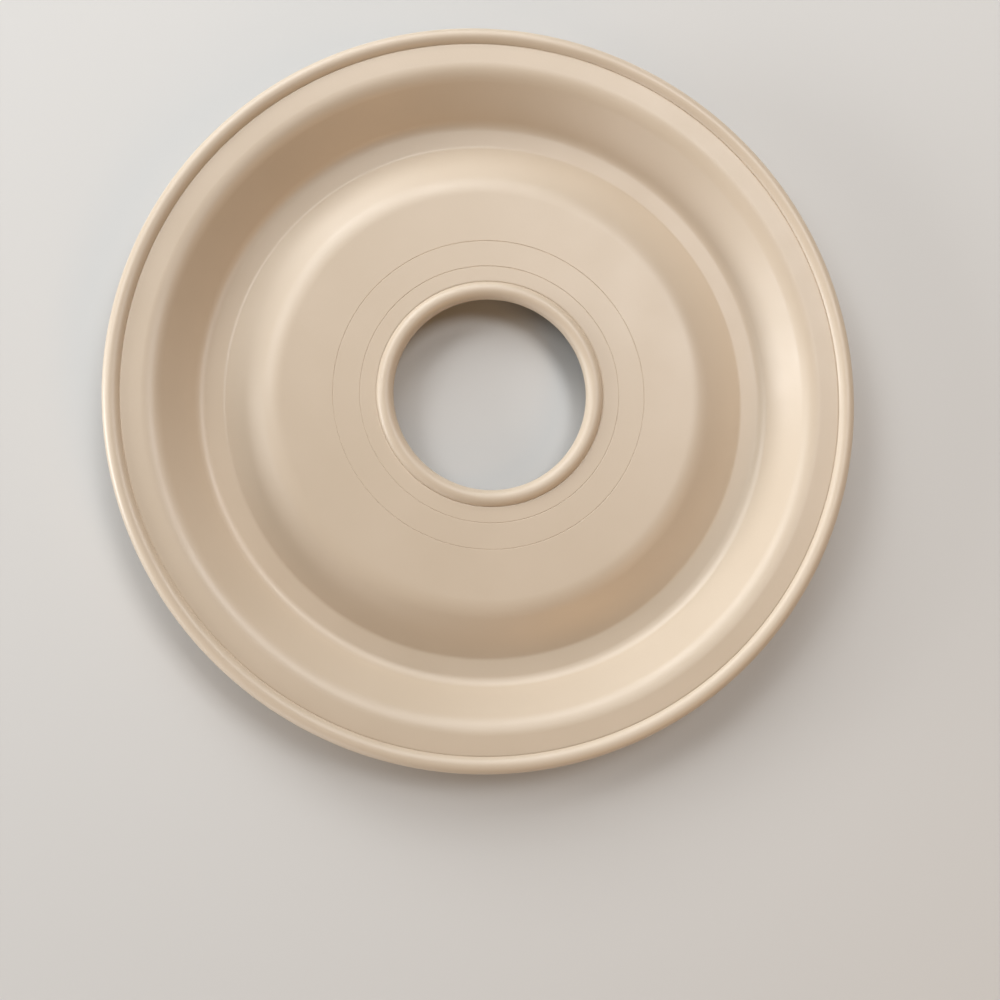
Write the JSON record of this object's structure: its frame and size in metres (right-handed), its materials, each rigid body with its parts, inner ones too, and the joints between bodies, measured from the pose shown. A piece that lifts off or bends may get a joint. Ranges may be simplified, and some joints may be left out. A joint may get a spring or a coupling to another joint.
{
  "type": "pump diaphragm",
  "caption": "Round moulded elastomer diaphragm for an air-operated pump, with a beaded rim, flat flange, deep ring-shaped convolution, flat clamp face and beaded centre hole.",
  "frame": {"origin": "on the axis, at the level of the ring of the convolution that it rests on", "axes": "+Z along the axis, out of the hollow side of the convolution; X and Y lie in the plane of the flange"},
  "size_m": [0.26, 0.26, 0.0195],
  "materials": {
    "elastomer": "satin, moulded, tan"
  },
  "bodies": {
    "root": {"diaphragm": "elastomer"}
  },
  "joints": []
}
